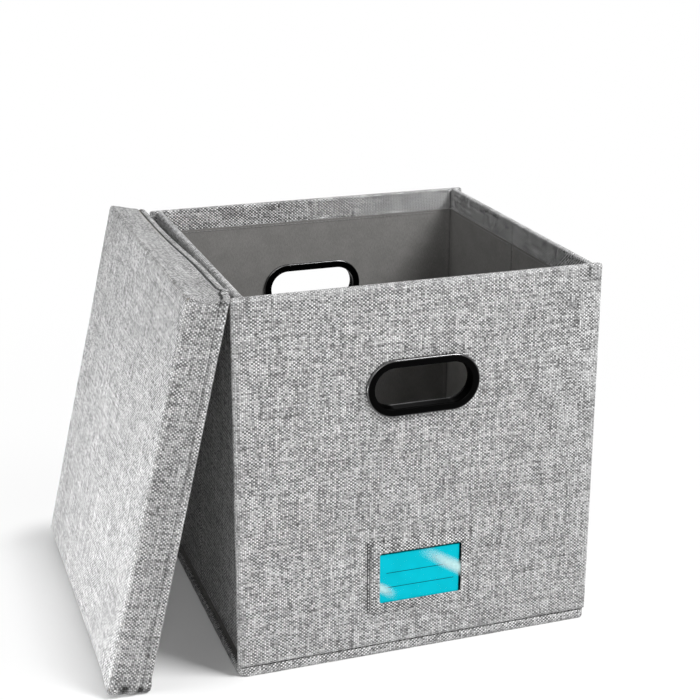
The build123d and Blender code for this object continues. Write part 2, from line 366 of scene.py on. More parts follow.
def clear_film():
    """Clear window film: see-through, glossy, with two bands of painted glare and painted shadow
    along two edges.
    """
    g = material_graph("clear_film_gloss")
    place = g.place()
    x, _, z = g.split(place)
    z = z - WINDOW_CENTRE
    wave = g.noise(place, 22.0, 1.0)
    across = x * 0.56 + z * 0.83 + (wave - 0.5) * (5 * MM)
    along = x * 0.83 - z * 0.56

    def band(middle, half_width, fade):
        return g.spread(abs(across - middle), 0.0, half_width, 1.0, 0.0) * fade

    # Two bands of painted glare: a pale diffuse veil laid over the window
    upper = band(19.6 * MM, 8.0 * MM, g.spread(along, -16 * MM, 28 * MM))
    lower = band(-30.3 * MM, 6.5 * MM, g.spread(along, -30 * MM, -6 * MM, 1.0, 0.0))
    painted_glare = g.larger(upper, lower) * (0.5 + 0.3 * g.noise(place, 500.0, 3.0))
    # Painted shadow inside the window's right and top edges
    right = g.spread(x, WINDOW_WIDTH / 2 - 2.6 * MM, WINDOW_WIDTH / 2 - 1.0 * MM)
    top = g.spread(z, WINDOW_HEIGHT / 2 - 2.6 * MM, WINDOW_HEIGHT / 2 - 1.2 * MM)
    painted_edge_shadow = g.mix(g.larger(right, top * 0.8), grey(1.0), grey(0.32))
    normal = g.bump(wave, 0.3 * MM, 0.5)
    gloss = g.output(0, "BsdfGlossy", {"Color": grey(1.0), "Roughness": 0.05, "Normal": normal})
    glare_veil = g.output(0, "BsdfDiffuse", {"Color": (0.7, 0.98, 0.98, 1)})
    clear = g.output(0, "BsdfTransparent", {"Color": painted_edge_shadow})
    facing = g.output("Facing", "LayerWeight", {"Blend": 0.5, "Normal": normal})
    shine = facing.math("POWER", 5.0) * 0.9
    return g.surface(g.mix_shaders(shine, g.mix_shaders(painted_glare, clear, glare_veil), gloss))


def label_paper():
    """Teal card with a fine tooth and two plain ruled lines to write on."""
    g = material_graph("label_paper_teal")
    place = g.place()
    x, _, z = g.split(place)
    tooth = g.noise(place, 2400.0, 3.0, 0.7)
    cloud = g.spread(g.noise(place, 60.0, 2.0), 0.3, 0.7)
    colour = g.mix(cloud, (0.0, 0.53, 0.65, 1), (0.0, 0.57, 0.70, 1))
    inside = abs(x).math("LESS_THAN", CARD_LINE_HALF)
    for line in CARD_LINES:
        ink = g.spread(abs(z - line), 0.25 * MM, 0.45 * MM, 1.0, 0.0) * inside
        ink *= g.spread(tooth, 0.3, 0.5, 0.55, 0.95)
        colour = g.mix(ink, colour, (0.002, 0.02, 0.035, 1))
    return g.principled(
        Base_Color=colour,
        Roughness=0.45 + 0.2 * tooth,
        Specular_IOR_Level=0.05,
        Normal=g.bump(tooth, 0.05 * MM, 0.6),
    )


def greyboard():
    """Recycled board: mottled grey-brown pulp with pressed flecks."""
    g = material_graph("greyboard_pulp")
    place = g.place()
    fleck = g.spread(g.noise(place, 700.0, 4.0, 0.75), 0.55, 0.72)
    colour = g.mix(g.noise(place, 120.0, 3.0), (0.20, 0.18, 0.15, 1), (0.30, 0.28, 0.24, 1))
    colour = g.mix(fleck * 0.5, colour, (0.10, 0.09, 0.08, 1))
    return g.principled(Base_Color=colour, Roughness=0.92, Normal=g.bump(fleck, 0.1 * MM, 0.5))


def thread_material():
    """Twisted grey sewing thread."""
    g = material_graph("sewing_thread")
    u, v, _ = g.split(g.cloth())
    twist = ((u + v * 1.4) * (2 * pi / (0.5 * MM))).math("SINE")
    return g.principled(
        # Painted shade in the twist's grooves darkens the thread's colour; the bump gives the twist
        # its relief
        Base_Color=g.shaded(grey(0.30), 0.88 + 0.12 * twist),
        Roughness=0.6,
        Sheen_Weight=0.2,
        Normal=g.bump(twist, 0.06 * MM, 0.6),
    )


LINEN = linen("grey_linen_weave", grey(0.95), grey(0.05))
FELT = felt("grey_lining_felt", (0.235, 0.23, 0.222, 1))
THREAD = thread_material()
NODE_MATERIALS = {
    "black_plastic": black_plastic(),
    "clear_film": clear_film(),
    "label_paper": label_paper(),
    "greyboard": greyboard(),
}


# ---- mesh helpers


class Face:
    """A flat working plane: x runs across, y runs up, and z stands out of it."""

    def __init__(self, origin, across, up, weave=(0.0, 0.0)):
        self.origin = np.array(origin, float)
        self.across = np.array(across, float)
        self.up = np.array(up, float)
        self.out = np.cross(self.across, self.up)
        self.weave = np.array(weave, float)

    def place(self, points):
        x, y, z = np.asarray(points, float).T[:, :, None]
        return self.origin + x * self.across + y * self.up + z * self.out


def build(name, points, faces, uv, material, body=None, wear=None, crease=None, offset=None):
    """Makes a smooth mesh piece. Offset moves each vertex along its normal."""
    mesh = bpy.data.meshes.new(name)
    mesh.from_pydata([tuple(p) for p in points], [], faces)
    mesh.update()
    if offset is not None:
        normals = np.array([tuple(n.vector) for n in mesh.vertex_normals])
        mesh.vertices.foreach_set("co", (points + normals * offset[:, None]).ravel())
    corners = np.zeros(len(mesh.loops), int)
    mesh.loops.foreach_get("vertex_index", corners)
    layer = mesh.uv_layers.new(name="cloth")
    layer.data.foreach_set("uv", np.asarray(uv, float)[corners].astype(np.float32).ravel())
    # Wear marks and the painted shade of creases ride on the mesh as attributes
    for key, values in (("wear", wear), ("crease", crease)):
        if values is not None:
            attribute = mesh.attributes.new(key, "FLOAT", "POINT")
            attribute.data.foreach_set("value", np.asarray(values, np.float32))
    joined = bmesh.new()
    joined.from_mesh(mesh)
    bmesh.ops.remove_doubles(joined, verts=joined.verts, dist=2e-6)
    joined.to_mesh(mesh)
    joined.free()
    mesh.polygons.foreach_set("use_smooth", [True] * len(mesh.polygons))
    mesh.materials.append(material)
    piece = bpy.data.objects.new(name, mesh)
    bpy.context.scene.collection.objects.link(piece)
    if body:
        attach(piece, body)
    return piece


def waves(points, size, seed, octaves=2):
    """Smooth noise, about -1 to 1, over points, with features of the given size."""
    shift = Vector((seed * 7.13, seed * 3.71, seed * 5.29))
    return np.array([noise.fractal(Vector(p) / size + shift, 0.9, 2.0, octaves) for p in points])


def smooth(x, low, high):
    """Rises smoothly from 0 at low to 1 at high. Low may be above high."""
    t = np.clip((np.asarray(x, float) - low) / (high - low), 0, 1)
    return t * t * (3 - 2 * t)


def ridge(x, middle, width):
    """1 at the middle, falling smoothly to 0 at the given distance from it."""
    return 1 - smooth(np.abs(np.asarray(x, float) - middle), 0, width)


def bell(x, middle, width):
    """1 at the middle, falling away on both sides without end."""
    return np.exp(-(((x - middle) / width) ** 2))


def to_border(places, half_x, half_y):
    """Distance of each place from the border of a rectangle about the origin."""
    return np.minimum(half_x - np.abs(places[:, 0]), half_y - np.abs(places[:, 1]))


def lines(half):
    """Grid positions from -half to half, closer together near both ends."""
    near = [0, 1.2, 2.4, 3.8, 5.4, 7.2, 9.0, 10.8, 12.6, 14.4, 16.4, 19.0, 22.5, 27.0]
    near = np.array(near) * MM
    middle = half - near[-1]
    count = max(2, int(round(2 * middle / (6 * MM))))
    inner = np.linspace(-middle, middle, count + 1)
    return np.concatenate([-half + near[:-1], inner, (half - near[:-1])[::-1]])


def perimeter(count_x, count_y, arc, square):
    """Walks once round a grid's border: the grid vertex, its direction outward, per step."""
    steps = []
    far_x, far_y = count_x - 1, count_y - 1
    corners = [(0, 0, 180), (far_x, 0, 270), (far_x, far_y, 0), (0, far_y, 90)]
    for i, (cx, cy, start) in enumerate(corners):
        for k in range(arc + 1):
            angle = radians(start + 90 * k / arc)
            direction = np.array([cos(angle), sin(angle)])
            direction /= (abs(direction) ** square).sum() ** (1 / square)
            steps.append(((cx, cy), direction))
        nx, ny, _ = corners[(i + 1) % 4]
        turned = radians(start + 90)
        normal = np.array([round(cos(turned)), round(sin(turned))], float)
        span = max(abs(nx - cx), abs(ny - cy))
        for k in range(1, span):
            steps.append(((cx + (nx - cx) * k // span, cy + (ny - cy) * k // span), normal))
    return steps


def quarter(radius_x, radius_y, depth_radius, count, start=0.0):
    """Path round a quarter turn, from a board's face to its side, in (x, y, depth, tuck)."""
    path = []
    for t in np.linspace(0, pi / 2, count + 1)[1:]:
        depth = start + depth_radius * (1 - cos(t))
        path.append((radius_x * sin(t), radius_y * sin(t), depth, 0.0))
    return path


def edge_profile(radius_x, radius_y, depth_radius, thickness, inner, tuck_steps):
    """Cloth's path from a board's face round its edge to the other face: (x, y, depth, tuck)."""
    path = quarter(radius_x, radius_y, depth_radius, 6)
    start, end = depth_radius, thickness - inner
    count = max(1, int((end - start) / (3 * MM)))
    for k in range(1, count + 1):
        path.append((radius_x, radius_y, start + (end - start) * k / count, 0.0))
    for t in np.linspace(0, pi / 2, 6)[1:]:
        back = inner * (1 - cos(t))
        path.append((radius_x - back, radius_y - back, end + inner * sin(t), 0.0))
    for tuck in tuck_steps:
        path.append((radius_x - inner, radius_y - inner, thickness, tuck))
    path.append((radius_x - inner, radius_y - inner, thickness - 0.5 * MM, 1.0))
    return path


def wrapped(face, half_x, half_y, path, tucks=(0, 0, 0, 0), arc=6, square=2.6, extra=((), ())):
    """Cloth wrapped round a board: its face grid, then one loop per step of the path.

    Tucks are how far the cloth is turned in on the far side: left, right, bottom and top.
    Extra holds more grid positions across and up. Square is how square the corners are.
    Returns the points, faces, cloth coordinates and how far round the edge each point is.
    """
    xs = np.unique(np.round(np.concatenate([lines(half_x), extra[0]]), 7))
    ys = np.unique(np.round(np.concatenate([lines(half_y), extra[1]]), 7))
    nx, ny = len(xs), len(ys)
    grid_x, grid_y = np.meshgrid(xs, ys)
    points = [np.column_stack([grid_x.ravel(), grid_y.ravel(), np.zeros(nx * ny)])]
    flat = [points[0][:, :2].copy()]
    round_edge = [np.zeros(nx * ny)]
    faces = grid_faces(nx, ny)
    steps = perimeter(nx, ny, arc, square)
    previous = [j * nx + i for (i, j), _ in steps]
    base = np.array([[xs[i], ys[j]] for (i, j), _ in steps])
    direction = np.array([d for _, d in steps])
    total, count = nx * ny, len(steps)
    gone, last = 0.0, np.zeros(2)
    left, right, bottom, top = tucks
    sides = [direction[:, 1] > 0.9, direction[:, 1] < -0.9, direction[:, 0] > 0.9]
    turned_in = np.select(sides, [top, bottom, right], left)
    for out_x, out_y, depth, tuck in path:
        here = np.array([max(out_x, out_y), depth])
        gone += 0.0 if tuck else float(np.hypot(*(here - last)))
        last = here
        low = (-half_x - out_x + left * tuck, -half_y - out_y + bottom * tuck)
        high = (half_x + out_x - right * tuck, half_y + out_y - top * tuck)
        loop = np.clip(base + direction * (out_x, out_y), low, high)
        along = gone + tuck * turned_in
        points.append(np.column_stack([loop, np.full(count, -depth)]))
        flat.append(base + direction * along[:, None])
        round_edge.append(along)
        current = range(total, total + count)
        faces += ring_faces(previous, current)
        previous = current
        total += count
    points = np.concatenate(points)
    return points, faces, np.concatenate(flat) + face.weave, np.concatenate(round_edge)


def ring_faces(first, second):
    """Faces between two loops of vertex numbers. A vertex that a loop repeats is used once."""
    ends = zip(first, second, [*second[1:], second[0]], [*first[1:], first[0]])
    return [tuple(dict.fromkeys(quad)) for quad in ends]


def grid_faces(columns, rows):
    """Quads of a grid of points that is stored row by row."""
    return [
        (j * columns + i, j * columns + i + 1, (j + 1) * columns + i + 1, (j + 1) * columns + i)
        for j in range(rows - 1)
        for i in range(columns - 1)
    ]


def punch(points, faces, half_length, radius, middle):
    """Cuts a slot with round ends, centred at the given height, through the faces there."""
    centre_x = np.clip(points[:, 0], -half_length, half_length)
    dx, dy = points[:, 0] - centre_x, points[:, 1] - middle
    away = np.hypot(dx, dy)
    inside = away < radius
    kept = [f for f in faces if not all(inside[i] for i in f)]
    used = np.zeros(len(points), bool)
    for f in kept:
        used[list(f)] = True
    move = inside & used & (away > 1e-6)
    points[move, 0] = centre_x[move] + dx[move] / away[move] * radius
    points[move, 1] = middle + dy[move] / away[move] * radius
    return kept


def distances(path):
    """Distance along a polyline to each of its points."""
    return np.concatenate([[0], np.cumsum(np.linalg.norm(np.diff(path, axis=0), axis=1))])


def stitches(name, path, out, body, pitch, length, thick=0.28 * MM):
    """A row of sewn stitches along a polyline, each a short arched thread."""
    lift, sides = 0.12 * MM, 6
    marks = distances(path)
    points, faces, uv = [], [], []

    def place(s):
        return np.array([np.interp(s, marks, path[:, k]) for k in range(3)])

    for s in np.arange(pitch / 2, marks[-1] - length / 2, pitch):
        middle = place(s)
        along = place(s + 0.5 * MM) - middle
        along /= np.linalg.norm(along)
        side = np.cross(out, along)
        start = len(points)
        for k, t in enumerate((-1.0, -0.75, -0.35, 0.0, 0.35, 0.75, 1.0)):
            girth = thick * (1 - t * t) ** 0.35 if abs(t) < 1 else thick * 0.15
            rise = lift + thick * 0.9 * (1 - t * t) - thick * (0.9 if abs(t) == 1 else 0.0)
            centre = middle + along * (t * length / 2) + out * rise
            for m in range(sides):
                angle = m * 2 * pi / sides
                points.append(centre + girth * (side * cos(angle) + out * 0.7 * sin(angle)))
                uv.append((s + t * length / 2, m * thick))
            if k:
                for m in range(sides):
                    a, b = start + (k - 1) * sides + m, start + (k - 1) * sides + (m + 1) % sides
                    faces.append((a, b, b + sides, a + sides))
    piece = build(name, points, faces, uv, THREAD, body)


# ---- walls

WALLS = {}
for wall_name, facing, wall_body in (("front", 1, "front_wall"), ("back", -1, "base")):
    weave = (CLOTH_AT[wall_name], 0)
    wall_face = Face((0, -facing * BOX_DEPTH / 2, 0), (facing, 0, 0), UPWARD, weave)
    WALLS[wall_name] = (wall_face, BOX_WIDTH, wall_body)
for side_name, side in (("left", -1), ("right", 1)):
    for end_name, end in (("front", -1), ("rear", 1)):
        wall_name = f"{side_name}_{end_name}"
        weave = (CLOTH_AT[side_name] + side * end * HALF_CENTRE, 0)
        wall_face = Face((side * SIDE_FACE, end * HALF_CENTRE, 0), (0, side, 0), UPWARD, weave)
        WALLS[wall_name] = (wall_face, HALF_LENGTH, f"{wall_name}_wall")
MAIN_WALLS = ("front", "back")
HEM_TUCK = TOP_HEM + 4 * MM
TUCK_STEPS = (0.04, 0.12, 0.3, 0.5, 0.7, 0.85, 0.95, 1.0)
# The slot for the handle, the finer grid round it, and where the cloth lies flat under the ring
SLOT_RADIUS = 21.3 * MM
SLOT_GRID_X = np.arange(-54, 55, 3) * MM
SLOT_GRID_Y = np.arange(-27, 28, 3) * MM
RING_FLAT, RING_CLEAR = 26 * MM, 45 * MM


def wall_sheet(name, middle, face, half_x, half_y, path, tucks=(0, 0, 0, 0), **shape):
    """A wall's wrapped cloth, with the handle's slot in a main wall.

    The last result is 0 under the handle's ring and 1 away from it.
    """
    if name not in MAIN_WALLS:
        return *wrapped(face, half_x, half_y, path, tucks, **shape), 1.0
    hole = HANDLE_HEIGHT - middle
    extra = (SLOT_GRID_X, hole + SLOT_GRID_Y)
    points, faces, flat, gone = wrapped(face, half_x, half_y, path, tucks, extra=extra, **shape)
    faces = punch(points, faces, SLOT_HALF, SLOT_RADIUS, hole)
    local = flat - face.weave
    away = np.hypot(np.maximum(np.abs(local[:, 0]) - SLOT_HALF, 0), local[:, 1] - hole)
    return points, faces, flat, gone, smooth(away, RING_FLAT, RING_CLEAR)


def wall_cloth(name, seed):
    """Outer cloth of one wall panel, wrapped round its board and hemmed over the top."""
    face, width, body = WALLS[name]
    main = name in MAIN_WALLS
    foot = BASE_HEIGHT if name == "back" else SWINGING_FOOT
    height = BOX_HEIGHT - foot
    middle = foot + height / 2
    face = Face(face.origin + (0, 0, middle), face.across, face.up, face.weave)
    radius = (4.4 * MM, 3.4 * MM) if main else (1.5 * MM, 3.2 * MM)
    path = edge_profile(*radius, 3.3 * MM, WALL - 0.2 * MM, 2.2 * MM, TUCK_STEPS)
    half_x, half_y = width / 2 - radius[0], height / 2 - radius[1]
    tucks = (3 * MM, 3 * MM, 3 * MM, HEM_TUCK)
    points, faces, flat, gone, clear = wall_sheet(
        name, middle, face, half_x, half_y, path, tucks, square=3.2
    )
    # The cloth's own shape, in millimetres
    local, gone = (flat - face.weave) / MM, gone / MM
    on_face = smooth(gone, 6, 0)
    from_border = to_border(local, half_x / MM, half_y / MM)
    bow = 0.28 * waves(points, 0.11, seed) + 0.1 * waves(points, 0.025, seed + 3)
    offset = (0.12 + bow * 0.8) * on_face * (0.25 + 0.75 * smooth(from_border, 0, 25)) * clear
    # Small puckers where the cloth turns over the edges
    pucker = bell(gone, 3.2, 3.5) * (0.4 if main else 0.25)
    offset += 0.16 * waves(points, 0.009, seed + 5) * pucker
    wear = np.maximum(bell(gone, 3.0, 3.4), 0.8 * smooth(from_border, 7, 1) * (gone < 9))
    crease = np.zeros(len(points))
    down = (half_y + radius[1]) / MM - local[:, 1]
    # Folded corner tab near each top corner: a short upright crease and one under it
    for side in (-1, 1) if main else ():
        past = side * local[:, 0] - half_x / MM
        upright = ridge(past, -9.5, 1.8) * smooth(down, -4, 1) * smooth(down, 14, 10)
        level = ridge(down, 13.5 + 0.12 * np.maximum(0, past + 9), 1.4) * smooth(past, -10, -8)
        fold = np.maximum(upright, level * 0.7) * smooth(gone, 12, 8)
        tab = smooth(past, -10, -8.2) * smooth(down, 13.5, 11.5) * on_face
        offset += 0.25 * (tab - fold)
        # Painted shade along the folds, stronger at the right corner than the left
        crease = np.maximum(crease, fold * (1.0 if side > 0 else 0.4))
        wear = np.maximum(wear, tab * (0.95 if side > 0 else 0.5))
    points, offset = face.place(points), offset * MM
    piece = build(f"{name}_cloth", points, faces, flat, LINEN, body, wear, crease, offset)
    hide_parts(f"{name}_cover")


def wall_felt(name, seed):
    """Lining of one wall panel, glued inside from its foot to the hem."""
    face, width, body = WALLS[name]
    foot = BASE_HEIGHT if name == "back" else SWINGING_FOOT
    height = BOX_HEIGHT - foot - TOP_HEM
    middle = foot + height / 2 + 0.3 * MM
    origin = face.origin - face.out * WALL + (0, 0, middle)
    face = Face(origin, -face.across, face.up, (face.weave[0] + CLOTH_AT["wall_felt"], 0))
    # The front and back linings end where the side walls meet them
    half_x = (INNER_SIDE if name in MAIN_WALLS else width / 2) - 1.2 * MM
    half_y = height / 2 - 0.9 * MM
    radius = 0.5 * MM
    path = quarter(radius, radius, radius, 3) + [(radius, radius, 0.9 * MM, 0.0)]
    points, faces, flat, gone, clear = wall_sheet(
        name, middle, face, half_x, half_y, path, arc=3, square=3.0
    )
    inner = smooth(to_border(points, half_x, half_y), 0, 20 * MM)
    offset = (0.05 * MM + 0.22 * MM * np.abs(waves(points, 0.06, seed)) * inner) * clear
    offset[gone > 0.6 * MM] = 0
    # Painted shade along the lining's top edge, where it meets the hem
    crease = 0.35 * bell(points[:, 1], half_y, 1.2 * MM)
    piece = build(f"{name}_felt", face.place(points), faces, flat, FELT, body, None, crease, offset)
    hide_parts(f"{name}_lining")
    # The stitching stops short of each corner, so that the walls can close on each other
    edge = half_y - 2.2 * MM
    corner_end = face.across[1] * face.origin[1]
    first = -half_x + (4 if corner_end > 0 else 12) * MM
    final = half_x - (4 if corner_end < 0 else 12) * MM
    row = face.place([(first, edge, 0.08 * MM), (final, edge, 0.08 * MM)])
    stitches(f"{name}_hem_stitches", row, face.out, body, pitch=4.2 * MM, length=3.1 * MM)


for number, wall_name in enumerate(WALLS):
    wall_cloth(wall_name, number + 1)
    wall_felt(wall_name, number + 11)


# ---- fabric hinges


def hinge_strip(name, section, uv_start, low, high, material, slot_name, fold=0.5):
    """An upright strip of cloth with the given plan, with painted shade darkest at the share where
    it folds.
    """
    heights = np.linspace(low, high, max(3, int((high - low) / (7 * MM))))
    spans = distances(section)
    points = [(x, y, z) for z in heights for x, y in section]
    uv = [(uv_start + s, z) for z in heights for s in spans]
    faces = grid_faces(len(section), len(heights))
    shade = 0.8 * np.tile(bell(spans, spans[-1] * fold, 0.9 * MM), len(heights))
    piece = build(name, points, faces, uv, material, crease=shade)
    return piece


def side_crease(name, side):
    """Outer cloth carried across the middle fold of a side wall."""
    half = np.array([0.5, 1.0, 1.6, 2.4, 3.5, 5.0, 6.5, 7.5]) * MM
    y = np.concatenate([-half[::-1], [0], half])
    ends = smooth(np.abs(y), 5 * MM, half[-1])
    rise = 0.22 * MM - 0.5 * MM * ends - 1.1 * MM * bell(y, 0, 0.9 * MM)
    section = np.column_stack([side * (SIDE_FACE + rise), side * y])
    low, high = SWINGING_FOOT + 3.6 * MM, BOX_HEIGHT - 3.6 * MM
    start = CLOTH_AT[name] - half[-1]
    piece = hinge_strip(f"{name}_crease_cloth", section, start, low, high, LINEN, "grey_linen")
    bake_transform(piece)


def corner_plan():
    """Plan of a strip round an inside corner at the origin, from its leg on X to its leg on Y."""
    arc = [(1.7 - 1.4 * sin(t), 1.7 - 1.4 * cos(t)) for t in np.linspace(0, pi / 2, 6)]
    return np.array([(4.8, -0.2), (4.2, 0.3), *arc, (0.3, 4.2), (-0.2, 4.8)]) * MM


CORNER_PARTS = (
    ("corner_felt", BASE_HEIGHT + 1.2 * MM, BOX_HEIGHT - TOP_HEM - 0.5 * MM, FELT, "grey_lining"),
    ("corner_cloth", BOX_HEIGHT - TOP_HEM + 0.2 * MM, BOX_HEIGHT - 2.6 * MM, LINEN, "grey_linen"),
)
# Plan of a strip that lies flat on the wall along X, up to a corner at the origin
FLAT_PLAN = np.array([(4.5, -0.2), (3.9, 0.12), (2.0, 0.06), (0.4, 0.0)]) * MM


def corner_hinge(name, corner, toward):
    """Lining and hem strips over an inside corner that turns."""
    plan = corner + np.array(toward) * corner_plan()
    if toward[0] * toward[1] < 0:
        plan = plan[::-1]
    for part, *shape in CORNER_PARTS:
        piece = hinge_strip(f"{name}_{part}", plan, CLOTH_AT["corner"], *shape)
        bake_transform(piece)


def closing_corner(name, corner, toward, bodies):
    """The same strips where the ring of walls closes: one flat on each wall, up to the corner."""
    on_side = corner + np.array(toward) * FLAT_PLAN[:, ::-1]
    on_end = (corner + np.array(toward) * FLAT_PLAN)[::-1]
    start = CLOTH_AT["corner"]
    for part, *shape in CORNER_PARTS:
        side = hinge_strip(f"{name}_{part}_side", on_side, start, *shape, 1.0)
        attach(side, bodies[1])
        end = hinge_strip(f"{name}_{part}_end", on_end, start + 0.1, *shape, 0.0)
        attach(end, bodies[0])


side_crease("left", -1)
side_crease("right", 1)
corner_hinge("left_rear", (-INNER_SIDE, INNER_END), (1, -1))
corner_hinge("right_rear", (INNER_SIDE, INNER_END), (-1, -1))
corner_hinge("left_front", (-INNER_SIDE, -INNER_END), (1, 1))
closing_corner("right_front", (INNER_SIDE, -INNER_END), (-1, 1), ("front_wall", "right_front_wall"))


# ---- base

TRAY_RIM = (170.2 * MM, 161.7 * MM)
TRAY_POCKET = (159.5 * MM, 155.5 * MM)
INSERT_HALF = (158 * MM, 153.5 * MM)


def rounded_loop(half_x, half_y, radius, n_side, n_arc):
    """Points and outward directions round a rectangle with round corners, anticlockwise."""
    steps = perimeter(n_side + 1, n_side + 1, n_arc, 2)
    shares = np.array([place for place, _ in steps]) * 2 / n_side - 1
    directions = np.array([direction for _, direction in steps])
    return shares * (half_x - radius, half_y - radius) + directions * radius, directions


def at_height(plan, z):
    return np.column_stack([plan, np.full(len(plan), z)])


def stack(loops, flip=False, capped=None):
    """Faces that join loops of equal count in order, with a cap on the loop of that index."""
    count = len(loops[0])
    faces = []
    for start in range(0, (len(loops) - 1) * count, count):
        faces += ring_faces(range(start, start + count), range(start + count, start + 2 * count))
    if flip:
        faces = [face[::-1] for face in faces]
    if capped is not None:
        faces.append(tuple(capped * count + i for i in reversed(range(count))))
    return faces


def base_cloth():
    """Cloth band and underside of the base tray."""
    side, directions = rounded_loop(BOX_WIDTH / 2, BOX_DEPTH / 2, 8 * MM, 40, 9)
    count = len(side)
    # How far out and how high each loop is, in millimetres
    path = (
        (-7.0, 0.15), (-1.6, 0.0), (-1.2, 0.05), (-0.5, 0.45), (-0.1, 1.2), (0.0, 2.2), (0.05, 4.2),
        (0.0, 6.2), (-0.15, 7.3), (-0.6, 8.2), (-1.2, 8.5), (-2.0, 8.6), (-3.4, 8.6),
    )
    first_out, first_z = last = path[0]
    rim = side + directions * first_out * MM
    loops = [at_height(rim * share, first_z * MM) for share in (0.04, 0.35, 0.7)]
    uv = [loop[:, :2] for loop in loops]
    wear = [np.full(count, 0.35) for _ in loops]
    gone = 0.0
    for out, z in path:
        gone += float(np.hypot(out - last[0], z - last[1])) * MM
        last = (out, z)
        ripple = 0.12 * np.sin(np.arange(count) * 1.7) * (1 < z < 8)
        loops.append(at_height(side + directions * (out + ripple[:, None]) * MM, z * MM))
        uv.append(side + directions * (gone + first_out * MM))
        wear.append(np.full(count, 1.0 if z < 2.5 else 0.35))
    points, flat = np.concatenate(loops), np.concatenate(uv) + (CLOTH_AT["base"], 0)
    faces = stack(loops, flip=True, capped=0)
    piece = build("base_cloth", points, faces, flat, LINEN, "base", np.concatenate(wear))
    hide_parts("base_cover")


def base_felt():
    """Lining of the base tray: a flat rim and the shallow pocket that takes the loose board."""
    outer, outer_out = rounded_loop(*TRAY_RIM, 6 * MM, 30, 5)
    pocket, pocket_out = rounded_loop(*TRAY_POCKET, 1.5 * MM, 30, 5)
    loops = [at_height(outer, 8.2 * MM), at_height(outer - outer_out * 0.3 * MM, 8.6 * MM)]
    for out, z in ((0.8, 8.6), (0.3, 8.45), (0.0, 8.0), (0.0, 6.0), (-0.4, 5.2), (-1.2, 5.0)):
        loops.append(at_height(pocket + pocket_out * out * MM, z * MM))
    sunk = loops[-1][:, :2]
    loops += [at_height(sunk * share, 5.0 * MM) for share in (0.97, 0.75, 0.4, 0.04)]
    points = np.concatenate(loops)
    flat = points[:, :2] + (CLOTH_AT["base_felt"], 0)
    piece = build("base_felt", points, stack(loops, capped=len(loops) - 1), flat, FELT, "base")
    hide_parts("base_lining")


def insert_cloth():
    """Loose base board in its lining cloth, a little bowed, with softened edges."""
    face = Face((0, 0, 8.4 * MM), (1, 0, 0), (0, 1, 0), (CLOTH_AT["insert_felt"], 0))
    radius = 1.1 * MM
    path = edge_profile(radius, radius, radius, 3.4 * MM, 1.0 * MM, (0.1, 0.5, 1.0))
    half_x, half_y = INSERT_HALF[0] - radius, INSERT_HALF[1] - radius
    points, faces, flat, gone = wrapped(face, half_x, half_y, path, (15 * MM,) * 4, arc=4)
    top = (gone < 0.2 * MM) * smooth(to_border(points, half_x, half_y), 0, 30 * MM)
    offset = (0.18 * MM + 0.16 * MM * waves(points, 0.07, 51)) * top
    piece = build("insert_cloth", face.place(points), faces, flat, FELT, "insert", offset=offset)
    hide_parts("insert_cover")


base_cloth()
base_felt()
insert_cloth()


# ---- label pocket


def pocket_cloth():
    """Sewn cloth frame of the label pocket, from its edge on the wall to the window's edge."""
    wall_middle = (BOX_HEIGHT + SWINGING_FOOT) / 2
    weave = (CLOTH_AT["front"], POCKET_CENTRE - wall_middle)
    face = Face((0, -BOX_DEPTH / 2, POCKET_CENTRE), (1, 0, 0), UPWARD, weave)
    half_width, half_height = POCKET_WIDTH / 2, POCKET_HEIGHT / 2
    outer, outer_out = rounded_loop(half_width, half_height, 1.6 * MM, 26, 5)
    window, window_out = rounded_loop(WINDOW_WIDTH / 2, WINDOW_HEIGHT / 2, 2.5 * MM, 26, 5)
    window = window + (0, WINDOW_CENTRE - POCKET_CENTRE)
    seam = waves(at_height(outer, 0.0), 0.006, 61)
    # Each loop's share of the way to the window, how far out it is and its rise, in millimetres
    steps = (
        (0, 0.25, -0.35), (0, 0.25, 0.25), (0, 0, 0.75), (0, -0.5, 1.1), (0, -1.2, 1.2),
        (0, -2.4, 1.05), (0, -3.4, 1.0), (0, -4.4, 1.15), (0.35, -2.5, 1.5), (0.6, -1.6, 1.75),
        (0.8, -0.8, 1.9), (0.92, -0.2, 1.95), (0.99, 0.3, 1.85), (1, 0, 1.6), (1, -0.1, 1.15),
    )
    loops, wear, crease = [], [], []
    for share, out, rise in steps:
        direction = outer_out * (1 - share) + window_out * share
        sign = 1 if share < 0.99 else -1
        plan = outer * (1 - share) + window * share + direction * out * MM * sign
        loops.append(np.column_stack([plan, rise * MM + 0.07 * MM * seam * (rise > 0.5)]))
        # Painted shade: a shadow line at the frame's left edge, a fold line just inside it, a faint
        # line along the top and a line where the frame meets the wall
        from_left = plan[:, 0] + half_width
        left = 0.75 * bell(from_left, 0, 1.0 * MM)
        fold = 0.95 * bell(from_left, 2.6 * MM, 0.7 * MM)
        top = 0.25 * bell(plan[:, 1], half_height, 0.8 * MM)
        at_wall = np.full(len(plan), 0.5 if rise < 0.5 and share == 0 else 0.0)
        crease.append(np.maximum.reduce([left, fold, top, at_wall]))
        wear.append(np.full(len(plan), 0.6 if share > 0.95 else 0.1))
    points, wear, crease = np.concatenate(loops), np.concatenate(wear), np.concatenate(crease)
    faces, flat = stack(loops, flip=True), points[:, :2] + face.weave
    piece = build(
        "label_pocket_cloth", face.place(points), faces, flat, LINEN, "front_wall", wear, crease
    )
    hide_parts("label_pocket_frame")
    x, low, high = half_width - 3.0 * MM, 3.0 * MM - half_height, half_height - 2.0 * MM
    row = face.place([(-x, high, MM), (-x, low, MM), (x, low, MM), (x, high, MM)])
    stitches("label_pocket_stitches", row, face.out, "front_wall", 3.0 * MM, 2.1 * MM, 0.22 * MM)


pocket_cloth()


# ---- lid

